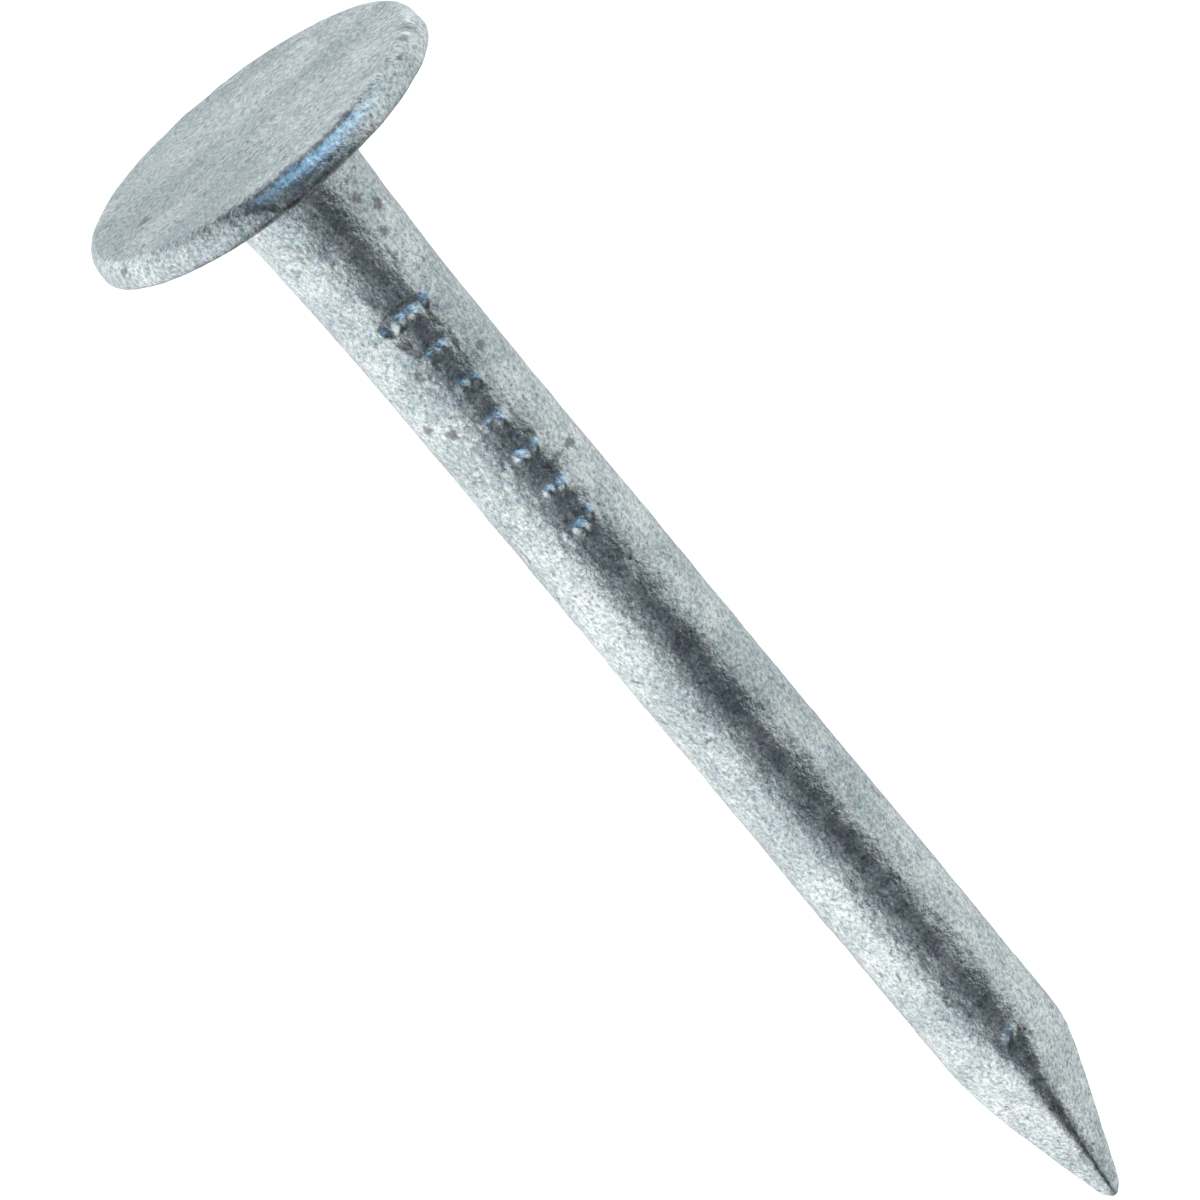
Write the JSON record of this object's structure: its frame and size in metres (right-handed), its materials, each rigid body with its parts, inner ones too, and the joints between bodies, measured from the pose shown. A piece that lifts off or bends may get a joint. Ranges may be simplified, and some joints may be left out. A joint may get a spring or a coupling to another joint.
{
  "type": "nail",
  "caption": "Large-head galvanised nail with a flat round head, flared neck, gripper marks under the head and a four-sided diamond point.",
  "frame": {"origin": "centre of the head's underside, as coated: the face that bears on the work", "axes": "+Z along the shank and out of the struck face, so the point is at the bottom; -Y and +Y face the two rows of gripper marks; the point leans towards -X"},
  "size_m": [0.01, 0.01, 0.0362],
  "materials": {
    "steel": "drawn and forged, bare",
    "zinc": "satin, mottled, hot-dip galvanised"
  },
  "bodies": {
    "root": {"steel_nail": "steel", "galvanised_coating": "zinc"}
  },
  "joints": []
}
